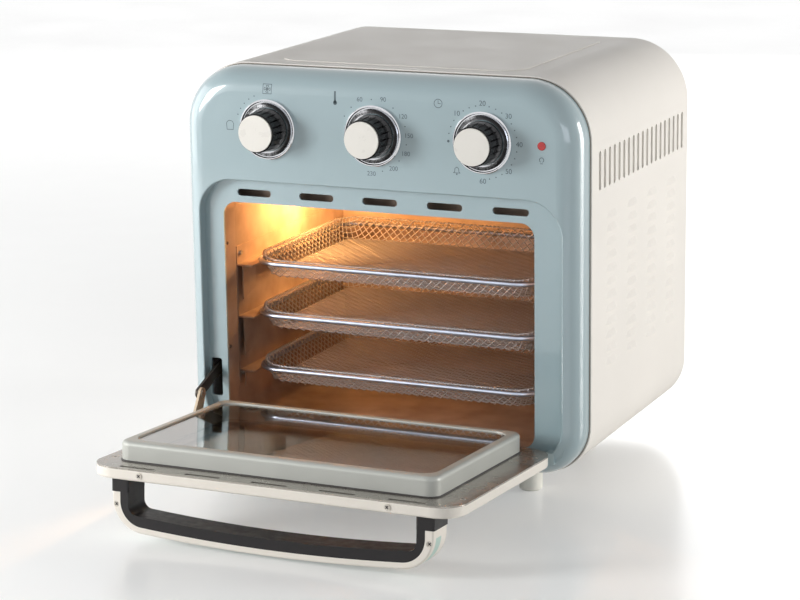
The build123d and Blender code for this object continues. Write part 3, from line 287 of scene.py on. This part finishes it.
def tube(builder, points, radius, sides=4, closed=False):
    """Round wire along points."""
    points = [Vector(p) for p in points]
    last = len(points) - 1
    rings = []
    side = None
    for i, point in enumerate(points):
        if closed:
            ahead, behind = points[0 if i == last else i + 1], points[i - 1]
        else:
            ahead, behind = points[min(i + 1, last)], points[max(i - 1, 0)]
        run = (ahead - behind).normalized()
        if side is None:
            side = run.orthogonal()
        side = (side - run * side.dot(run)).normalized()
        lift = run.cross(side)
        ring = [(side * math.cos(turn) + lift * math.sin(turn)) * radius for turn in turns(sides)]
        rings.append([builder.verts.new(point + offset) for offset in ring])
    for one, two in zip(rings, rings[1:]):
        join_rings(builder, one, two)
    if closed:
        join_rings(builder, rings[-1], rings[0])
    else:
        builder.faces.new(rings[0][::-1])
        builder.faces.new(rings[-1])


def rounded_outline(low, high, top_corner, foot_corner, bits):
    """Points clockwise round a rectangle with rounded corners, from its upper right one."""
    points = []
    corners = (
        (high[0], -1, high[1], -1, top_corner),
        (high[0], -1, low[1], 1, foot_corner),
        (low[0], 1, low[1], 1, foot_corner),
        (low[0], 1, high[1], -1, top_corner),
    )
    for quarter, (x_edge, x_inward, y_edge, y_inward, radius) in enumerate(corners):
        x, y = x_edge + x_inward * radius, y_edge + y_inward * radius
        for bit in range(bits + 1):
            turn = math.radians(90 * (quarter + bit / bits))
            points.append((x + radius * math.sin(turn), y + radius * math.cos(turn)))
    return points


# ---------------------------------------------------------------- baskets
net_pitch = 4.6 * mm
net_wire = 0.45 * mm
net_step = 2.5 * mm
net_corner = 20.0 * mm
net_slope = math.radians(26)  # of the walls, out of upright
hem_rise = 6.0 * mm
hem_front_rise = 2.2 * mm
hem_front_run = 16.0 * mm
hem_samples = 160
hem_sides = 5
lace_radius = 1.0 * mm
lace_pitch = 3.4 * mm
lace_bits = 6  # points per turn of the lacing
lace_wire = 0.8 * net_wire


def outline_distance(u, v, half_u, half_v, radius):
    """Distance outside a rounded rectangle, and the outward direction there."""
    qu, qv = abs(u) - half_u + radius, abs(v) - half_v + radius
    if qu > 0 and qv > 0:
        reach = math.hypot(qu, qv)
        normal = Vector((math.copysign(qu, u), math.copysign(qv, v), 0)) / reach
        return reach - radius, normal
    if qu > qv:
        return qu - radius, Vector((math.copysign(1, u), 0, 0))
    return qv - radius, Vector((0, math.copysign(1, v), 0))


class BasketForm:
    """The form that one basket's netting is pressed into, from its CAD mesh and rim."""

    def __init__(self, level):
        low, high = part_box(f"basket_mesh_{level}")
        rim_low, rim_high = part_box(f"basket_rim_{level}")
        self.centre = (low + high) / 2
        self.half_u, self.half_v = (high.x - low.x) / 2, (high.y - low.y) / 2
        self.floor_z = low.z + net_wire * 2
        self.rim_z = (rim_low.z + rim_high.z) / 2
        drop = self.rim_z - low.z
        inset = drop * math.tan(net_slope)
        self.wall = drop / math.cos(net_slope)
        self.floor_u = self.half_u - inset - net_wire
        self.floor_v = self.half_v - inset - net_wire
        self.floor_corner = net_corner - inset

    def past_floor(self, u, v):
        return outline_distance(u, v, self.floor_u, self.floor_v, self.floor_corner)

    def hem_z(self, y):
        """Height of the hem, which is lower along the basket's front."""
        front_y = self.centre.y - self.half_v
        share = min(1.0, max(0.0, (y - front_y) / hem_front_run))
        return self.rim_z + hem_front_rise + (hem_rise - hem_front_rise) * share

    def drape(self, u, v, lift):
        """Place of a point of the flat netting on the basket, or None past its hem."""
        out, normal = self.past_floor(u, v)
        if out <= 0:
            return Vector((self.centre.x + u, self.centre.y + v, self.floor_z + lift))
        foot = Vector((u, v, 0)) - normal * out
        climb = min(out, self.wall)
        place = foot + normal * (climb * math.sin(net_slope))
        place += Vector((self.centre.x, self.centre.y, self.floor_z)) - normal * lift
        place.z += climb * math.cos(net_slope) + max(0.0, out - self.wall)
        return place if place.z <= self.hem_z(place.y) else None


def wire_runs(form, family, offset, reach):
    """The stretches of one diagonal wire that lie on the basket, straight over its floor."""
    run, was_flat = [], False
    steps = int(reach / net_step)
    for i in range(-steps, steps + 1):
        u = i * net_step
        v = family * u + offset
        place = form.drape(u, v, family * net_wire)
        if place is None:
            yield run
            run, was_flat = [], False
            continue
        flat = form.past_floor(u, v)[0] < -net_step
        if flat and was_flat and len(run) > 1:
            run[-1] = place
        else:
            run.append(place)
        was_flat = flat
    yield run


def diagonal_net(builder, form):
    """Two families of wires that cross each other."""
    reach = form.floor_u + form.floor_v + 2 * form.wall + 4 * hem_rise
    lines = int(reach / (net_pitch * math.sqrt(2)))
    for family in (-1, 1):
        for k in range(-lines, lines + 1):
            for run in wire_runs(form, family, k * net_pitch * math.sqrt(2), reach):
                if len(run) > 1:
                    tube(builder, run, net_wire)


def laced_hem(builder, form):
    """A wire round the netting's edge and a finer one wound about it."""
    around = []
    for turn in turns(hem_samples):
        ray = Vector((math.cos(turn), math.sin(turn), 0))
        edge = ray * (1.0 / max(abs(ray.x) / form.half_u, abs(ray.y) / form.half_v))
        out, normal = outline_distance(edge.x, edge.y, form.half_u, form.half_v, net_corner)
        edge = edge - normal * out
        place = Vector((form.centre.x + edge.x, form.centre.y + edge.y, 0)) - normal * net_wire
        place.z = form.hem_z(place.y)
        around.append((place, normal))
    lace, travelled = [], 0.0
    for (here, normal), (there, _) in zip(around, around[1:] + around[:1]):
        span = (there - here).length
        bits = max(1, int(span / (lace_pitch / lace_bits)))
        for bit in range(bits):
            turn = 2 * math.pi * (travelled + span * bit / bits) / lace_pitch
            outward = normal * (lace_radius * math.cos(turn))
            upward = Vector((0, 0, lace_radius * math.sin(turn)))
            lace.append(here.lerp(there, bit / bits) + outward + upward)
        travelled += span
    tube(builder, lace, lace_wire, closed=True)
    tube(builder, [place for place, _ in around], net_wire, hem_sides, closed=True)


for level in basket_levels:
    netting, form = bmesh.new(), BasketForm(level)
    diagonal_net(netting, form)
    laced_hem(netting, form)
    net = piece(f"basket_net_{level}", netting, f"basket_{level}", "basket_wire", smooth=True)
    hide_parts(f"basket_mesh_{level}")

# ---------------------------------------------------------------- dial print
# Angles are in degrees, clockwise from straight up, round a dial's centre.
fascia_low, fascia_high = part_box("front_fascia")
print_lift = 0.03 * mm
face_y = fascia_low.y - print_lift
stroke_width = 0.45 * mm
digit_size = 5.4 * mm
small_digit_size = 0.9 * digit_size
digit_ring = 29.0 * mm
dot_ring = 27.4 * mm
dot_radius = 0.5 * mm
dot_sides = 16

minutes_per_mark = 10
timer_marks = 6
timer_first, timer_pitch = -45, 45
timer_dots = 3  # between two numbers
timer_off = -91
temperature_marks = {60: -22, 90: 17, 120: 57, 150: 87, 180: 115, 200: 146, 230: 184}
temperature_extra_dots = (-60, -41)
function_dots = (-24, -35, -46, -57, -68)

ink = bmesh.new()


def dial_centre(name):
    low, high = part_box(f"{name}_bezel")
    return (low.x + high.x) / 2, (low.z + high.z) / 2


def on_ring(centre, angle, radius):
    """Place on the panel at a clock angle round a centre."""
    turn = math.radians(angle)
    return centre[0] + radius * math.sin(turn), centre[1] + radius * math.cos(turn)


def round_place(x, z, *points):
    """Points given in millimetres round a place on the panel."""
    return [(x + a * mm, z + b * mm) for a, b in points]


def arc(x, z, radius, start=0, end=360, count=20):
    """Points between two clock angles round a place on the panel."""
    return [on_ring((x, z), start + (end - start) * k / count, radius) for k in range(count + 1)]


def dot(x, z, radius=dot_radius):
    ring = [(x + radius * math.cos(turn), z + radius * math.sin(turn)) for turn in turns(dot_sides)]
    ink.faces.new([ink.verts.new((a, face_y, b)) for a, b in ring])


def stroke(points, closed=False, width=stroke_width):
    """Printed line through points of the panel."""
    if closed:
        points = points + points[:1]
    for (x0, z0), (x1, z1) in zip(points, points[1:]):
        along = Vector((x1 - x0, 0, z1 - z0)).normalized() * width / 2
        across = Vector((-along.z, 0, along.x))
        start, end = Vector((x0, face_y, z0)) - along, Vector((x1, face_y, z1)) + along
        corners = (start - across, end - across, end + across, start + across)
        ink.faces.new([ink.verts.new(corner) for corner in corners])


def digits(number, x, z, size=digit_size):
    """A printed number, centred on a place of the panel."""
    curve = bpy.data.curves.new("digits", "FONT")
    curve.body = str(number)
    curve.size = size
    curve.align_x, curve.align_y = "CENTER", "CENTER"
    holder = bpy.data.objects.new("digits", curve)
    lettering = bpy.data.meshes.new_from_object(holder)
    for corner in lettering.vertices:
        corner.co = (x + corner.co.x, face_y, z + corner.co.y)
    ink.from_mesh(lettering)
    bpy.data.objects.remove(holder)
    bpy.data.curves.remove(curve)
    bpy.data.meshes.remove(lettering)


timer = dial_centre("timer")
for mark in range(timer_marks):
    angle = timer_first + timer_pitch * mark
    digits(minutes_per_mark * (mark + 1), *on_ring(timer, angle, digit_ring))
for gap in range(-1, timer_marks - 1):
    for part in range(1, timer_dots + 1):
        angle = timer_first + timer_pitch * (gap + part / (timer_dots + 1))
        dot(*on_ring(timer, angle, dot_ring))
dot(*on_ring(timer, timer_off, dot_ring), 2 * dot_radius)

temperature = dial_centre("temperature")
for degrees, angle in temperature_marks.items():
    digits(degrees, *on_ring(temperature, angle, digit_ring), small_digit_size)
mark_angles = list(temperature_marks.values())
between = [(one + two) / 2 for one, two in zip(mark_angles, mark_angles[1:])]
for angle in (*between, *temperature_extra_dots):
    dot(*on_ring(temperature, angle, dot_ring))

function = dial_centre("function")
for angle in function_dots:
    dot(*on_ring(function, angle, dot_ring))

# thermometer
x, z = on_ring(temperature, -49.4, 41.2 * mm)
dot(x, z - 3.4 * mm, 1.7 * mm)
stroke(round_place(x, z, (0, -3), (0, 4.5)), width=1.5 * mm)
# clock
x, z = on_ring(timer, -52.4, 44.6 * mm)
stroke(arc(x, z, 3.2 * mm))
stroke(round_place(x, z, (0, 2.2), (0, 0), (1.8, 0)))
# bell
x, z = on_ring(timer, -137, 30.5 * mm)
bell_left = (-2.6, -1.6), (-1.7, -0.6), (-1.5, 1.6)
bell_right = (1.5, 1.6), (1.7, -0.6), (2.6, -1.6)
stroke(round_place(x, z, *bell_left, (0, 2.8), *bell_right), closed=True)
dot(x, z - 2.6 * mm, 0.6 * mm)
# lamp under the pilot light
lens_low, lens_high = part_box("indicator_lens")
x, z = (lens_low.x + lens_high.x) / 2, lens_low.z - 7 * mm
stroke(arc(x, z, 1.7 * mm, -150, 150, 14))
stroke(round_place(x, z, (-0.8, -2.7), (0.8, -2.7)))
# fan in a square
x, z = on_ring(function, 0, 31 * mm)
stroke(round_place(x, z, (-3.6, -3.6), (3.6, -3.6), (3.6, 3.6), (-3.6, 3.6)), closed=True)
for turn in (0, 90, 180, 270):
    stroke([(x, z)] + arc(x, z, 2.6 * mm, turn - 20, turn + 25, 3), closed=True)
# slice with a rounded top
x, z = on_ring(function, -88, 32.5 * mm)
slice_top = arc(x, z + 0.8 * mm, 3.2 * mm, -75, 75, 8)
stroke(round_place(x, z, (-2.6, -3)) + slice_top + round_place(x, z, (2.6, -3)), closed=True)

# The upper marks are cut into strips and follow the panel's rolled edge.
panel_roll = 18.0 * mm
roll_strips = 10
roll_strip = 1.0 * mm
roll_start = fascia_high.z - panel_roll
for strip in range(roll_strips):
    parts = ink.verts[:] + ink.edges[:] + ink.faces[:]
    cut = (0, 0, roll_start + strip * roll_strip)
    bmesh.ops.bisect_plane(ink, geom=parts, plane_co=cut, plane_no=(0, 0, 1))
for corner in ink.verts:
    past = max(0.0, corner.co.z - roll_start)
    corner.co.y += panel_roll - math.sqrt(panel_roll**2 - past**2)
piece("dial_print", ink, "oven", finish=print_ink)

# ---------------------------------------------------------------- dished face round each knob
dish_inner = 17.0 * mm
dish_width = 3.6 * mm
dish_depth = 1.34 * mm
dish_rise = 1.24 * mm
dish_curve = 1.6
dish_bands = 6
dish_sides = 72

for name in dials:
    x, z = dial_centre(name)
    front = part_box(f"{name}_bezel")[0].y
    dish = bmesh.new()
    rings = []
    for band in range(dish_bands + 1):
        share = band / dish_bands
        radius = dish_inner + dish_width * share
        y = front + dish_depth - dish_rise * share**dish_curve
        ring = [(x + radius * math.cos(t), y, z + radius * math.sin(t)) for t in turns(dish_sides)]
        rings.append([dish.verts.new(corner) for corner in ring])
    for one, two in zip(rings, rings[1:]):
        join_rings(dish, one, two)
    piece(f"{name}_dish", dish, "oven", "bezel_chrome", smooth=True)

# ---------------------------------------------------------------- gasket of the door's inner frame, its dark tone partly painted shade
door_lean = math.radians(3.67)  # of the open door, out of level
hinge_place = Vector((0, -122.0, 39.04)) * mm
outward = Vector((0, -math.cos(door_lean), math.sin(door_lean)))
raised = Vector((0, math.sin(door_lean), math.cos(door_lean)))
frame_near, frame_far = 10.0 * mm, 174.0 * mm  # along the door, from the hinge
frame_corner = 9.0 * mm
frame_foot = 4.8 * mm
gasket_gap = 0.2 * mm
gasket_radius = 0.75 * mm
gasket_sides = 6

frame_low, frame_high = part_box("door_inner_frame")
gasket_corner = frame_corner + gasket_gap
gasket_outline = rounded_outline(
    (frame_low.x - gasket_gap, frame_near - gasket_gap),
    (frame_high.x + gasket_gap, frame_far + gasket_gap),
    gasket_corner, gasket_corner, bits=8,
)
gasket_path = []
for x, reach in gasket_outline:
    place = hinge_place + outward * reach + raised * frame_foot
    place.x = x
    gasket_path.append(place)
gasket = bmesh.new()
tube(gasket, gasket_path, gasket_radius, gasket_sides, closed=True)
# The gasket's dark tone is partly its own colour and partly painted shade of the crease where the
# frame meets the plate.
piece("frame_gasket", gasket, "door", finish=dark_gasket_and_painted_shade, smooth=True)

# ---------------------------------------------------------------- painted shade in the seam between front and case
fascia_top_corner = 46.65 * mm
fascia_foot_corner = 37.65 * mm
seam_radius = 0.55 * mm
seam_sides = 6
seam_proud = 0.2 * mm

seam_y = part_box("outer_wrap")[0].y - seam_proud
seam_outline = rounded_outline(
    (fascia_low.x, fascia_low.z), (fascia_high.x, fascia_high.z),
    fascia_top_corner, fascia_foot_corner, bits=14,
)
# The dark bead along the seam is painted shade of the gap between the front and the case.
seam = bmesh.new()
tube(seam, [(x, seam_y, z) for x, z in seam_outline], seam_radius, seam_sides, closed=True)
piece("panel_seam_shade", seam, "oven", finish=seam_gap_shade, smooth=True)

# ---------------------------------------------------------------- pale sheets behind the side slots
backing_x = 162.2 * mm
backing_front, backing_back = -90 * mm, 118 * mm
backing_foot, backing_top = 230 * mm, 272 * mm

backing = bmesh.new()
for x in (-backing_x, backing_x):
    corners = (
        (x, backing_front, backing_foot),
        (x, backing_back, backing_foot),
        (x, backing_back, backing_top),
        (x, backing_front, backing_top),
    )
    backing.faces.new([backing.verts.new(corner) for corner in corners])
piece("slot_backing", backing, "oven", "case_paint")

# ---------------------------------------------------------------- painted shade of the screws' cross recesses
cross_reach = 1.35 * mm
cross_width = 0.85 * mm
cross_lift = 0.04 * mm
same_point = 0.001 * mm
wide_share = 0.5  # a flat of at least this share of the widest one can be the head's end


def separate_solids(builder):
    """The faces of each connected solid of a bmesh."""
    seen = set()
    for start in builder.verts:
        if start in seen:
            continue
        group, queue = {start}, [start]
        while queue:
            corner = queue.pop()
            for edge in corner.link_edges:
                other = edge.other_vert(corner)
                if other not in group:
                    group.add(other)
                    queue.append(other)
        seen |= group
        yield [face for face in builder.faces if face.verts[0] in group]


def outer_end(faces, facing):
    """Middle and normal of the wide flat of a screw that faces out the most."""
    flats = {}
    for face in faces:
        direction = tuple(round(part, 2) for part in face.normal)
        area, moment = flats.get(direction, (0.0, Vector()))
        extra = face.calc_area()
        flats[direction] = area + extra, moment + face.calc_center_median() * extra
    widest = max(area for area, _ in flats.values())
    wide = [direction for direction, (area, _) in flats.items() if area > wide_share * widest]
    end = max(wide, key=lambda direction: Vector(direction).dot(facing))
    area, moment = flats[end]
    return moment / area, Vector(end).normalized()


def head_crosses(node, body, facing):
    """A dark cross of painted shade, standing in for the cross recess, on the outer end of each
    screw of a node.
    """
    source = bmesh.new()
    source.from_mesh(nodes[node].data)
    bmesh.ops.remove_doubles(source, verts=source.verts, dist=same_point)
    marks = bmesh.new()
    for faces in separate_solids(source):
        end, normal = outer_end(faces, facing)
        middle = end + normal * cross_lift
        across = normal.orthogonal().normalized()
        for along in (across, normal.cross(across)):
            side = normal.cross(along)
            corners = [
                middle + along * a * cross_reach + side * b * cross_width / 2
                for a, b in ((-1, -1), (1, -1), (1, 1), (-1, 1))
            ]
            marks.faces.new([marks.verts.new(corner) for corner in corners])
    source.free()
    piece(f"{node}_crosses", marks, body, finish=dark_gasket_and_painted_shade)


head_crosses("door_screws", "door", outward)
head_crosses("case_screws", "oven", Vector((0, 1, 0)))


# ---------------------------------------------------------------- floor and studio
def math_node(tree, operation, one, two):
    made = tree.nodes.new("ShaderNodeMath")
    made.operation = operation
    tree.links.new(one, made.inputs[0])
    tree.links.new(two, made.inputs[1])
    return made.outputs[0]


def seen_directly(tree):
    """1 for camera, mirror and see-through rays, and 0 for the rays that light things."""
    rays = tree.nodes.new("ShaderNodeLightPath").outputs
    seen = math_node(tree, "MAXIMUM", rays["Is Camera Ray"], rays["Is Glossy Ray"])
    return math_node(tree, "MAXIMUM", seen, rays["Is Transmission Ray"])


white = (1.0, 1.0, 1.0, 1.0)
floor_half = 30.0
floor_drop = 0.2 * mm
# The floor glows less near the object, which paints shade on the floor round it.
floor_glow = 0.24, 0.46  # near the object and far from it
glow_start, glow_end = 0.4, 1.8

ground = bmesh.new()
bmesh.ops.create_grid(ground, x_segments=1, y_segments=1, size=floor_half)
floor = show("floor", mesh_of(ground, "floor"))
floor.location.z = -floor_drop

floor_white = Finish("floor_white", tone(232, 232, 230), 0.22, Emission_Color=white)
floor_white.gloss(0.2, 0.04)
distance = floor_white.node("ShaderNodeVectorMath")
distance.operation = "LENGTH"
floor_white.link(floor_white.place, distance.inputs[0])
# less glow near the object: painted shade on the floor round it
glow = floor_white.spread(distance.outputs["Value"], *floor_glow, glow_start, glow_end)
glow = math_node(floor_white.tree, "MULTIPLY", seen_directly(floor_white.tree), glow)
floor_white.link(glow, floor_white.shader.inputs["Emission Strength"])
floor.data.materials.append(floor_white.material)

# The studio lights the object from round the sides more than from overhead, and is seen as white.
studio_tint = (0.97, 0.985, 1.0, 1.0)
level_strength, overhead_strength = 0.42, 0.1

world = bpy.data.worlds.new("studio")
bpy.context.scene.world = world
world.use_nodes = True
studio = world.node_tree
studio.nodes.clear()
output = studio.nodes.new("ShaderNodeOutputWorld")
mix = studio.nodes.new("ShaderNodeMixShader")
lighting = studio.nodes.new("ShaderNodeBackground")
backdrop = studio.nodes.new("ShaderNodeBackground")
heading = studio.nodes.new("ShaderNodeTexCoord")
split = studio.nodes.new("ShaderNodeSeparateXYZ")
strength = studio.nodes.new("ShaderNodeMapRange")
lighting.inputs["Color"].default_value = studio_tint
backdrop.inputs["Color"].default_value = white
backdrop.inputs["Strength"].default_value = 1.0
strength.inputs["To Min"].default_value = level_strength
strength.inputs["To Max"].default_value = overhead_strength
for source, target in (
    (heading.outputs["Generated"], split.inputs[0]),
    (split.outputs["Z"], strength.inputs["Value"]),
    (strength.outputs["Result"], lighting.inputs["Strength"]),
    (seen_directly(studio), mix.inputs["Fac"]),
    (lighting.outputs[0], mix.inputs[1]),
    (backdrop.outputs[0], mix.inputs[2]),
    (mix.outputs[0], output.inputs["Surface"]),
):
    studio.links.new(source, target)


# ---------------------------------------------------------------- lamps
object_middle = Vector((0, 0, 0.16))


def softbox(name, place, width, height, watts, colour=(1, 1, 1)):
    """A rectangular lamp that looks at the middle of the object."""
    lamp = bpy.data.lights.new(name, "AREA")
    lamp.shape = "RECTANGLE"
    lamp.size, lamp.size_y = width, height
    lamp.energy = watts
    lamp.color = colour
    made = show(name, lamp)
    made.location = place
    made.rotation_euler = (object_middle - Vector(place)).to_track_quat("-Z", "Y").to_euler()
    made.visible_camera = False


softbox("key_left", (-1.02, -1.02, 0.46), 0.4, 0.45, 13.5)
softbox("left_panel", (-1.43, -0.3, 0.4), 1.0, 0.9, 6)
softbox("front_right", (1.3, -1.7, 0.5), 0.9, 0.7, 4, (0.84, 0.9, 1.0))
softbox("fill_right", (1.6, 0.55, 0.42), 0.6, 0.9, 16, (1.0, 0.985, 0.96))
softbox("back_fill", (-0.4, 2.2, 0.6), 1.6, 0.8, 8)

# warm light of the lit oven, inside the liner near its left wall
lamp_under_roof = 30 * mm
lamp_radius = 12 * mm

warm_light = bpy.data.lights.new("oven_lamp", "POINT")
warm_light.energy = 2.7
warm_light.color = (1.0, 0.5, 0.16)
warm_light.shadow_soft_size = lamp_radius
oven_lamp = show("oven_lamp", warm_light)
oven_lamp.location = (-0.098, 0.005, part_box("oven_cavity")[1].z - lamp_under_roof)
oven_lamp.visible_camera = False
oven_lamp.visible_glossy = False
oven_lamp.parent = frame["bodies"]["oven"]

# ---------------------------------------------------------------- camera
camera_place = Vector((0.80665, -1.87109, 0.59965))
camera_yaw = math.radians(24.25)
camera_pitch = math.radians(13.21)
camera_roll = math.radians(-0.77)
focal_pixels = 2600.0
frame_width = 800.0

forward = Vector(
    (
        -math.sin(camera_yaw) * math.cos(camera_pitch),
        math.cos(camera_yaw) * math.cos(camera_pitch),
        -math.sin(camera_pitch),
    )
)
level_right = forward.cross(Vector((0, 0, 1))).normalized()
level_up = level_right.cross(forward)
right = level_right * math.cos(camera_roll) + level_up * math.sin(camera_roll)
up = level_up * math.cos(camera_roll) - level_right * math.sin(camera_roll)
lens = bpy.data.cameras.new("camera")
lens.sensor_width = 36.0
lens.lens = lens.sensor_width * focal_pixels / frame_width
lens.clip_start, lens.clip_end = 0.05, 100.0
camera = show("camera", lens)
turned = Matrix((right, up, -forward)).transposed().to_4x4()
camera.matrix_world = Matrix.Translation(camera_place) @ turned
bpy.context.scene.camera = camera
bpy.context.scene.view_settings.view_transform = "Standard"
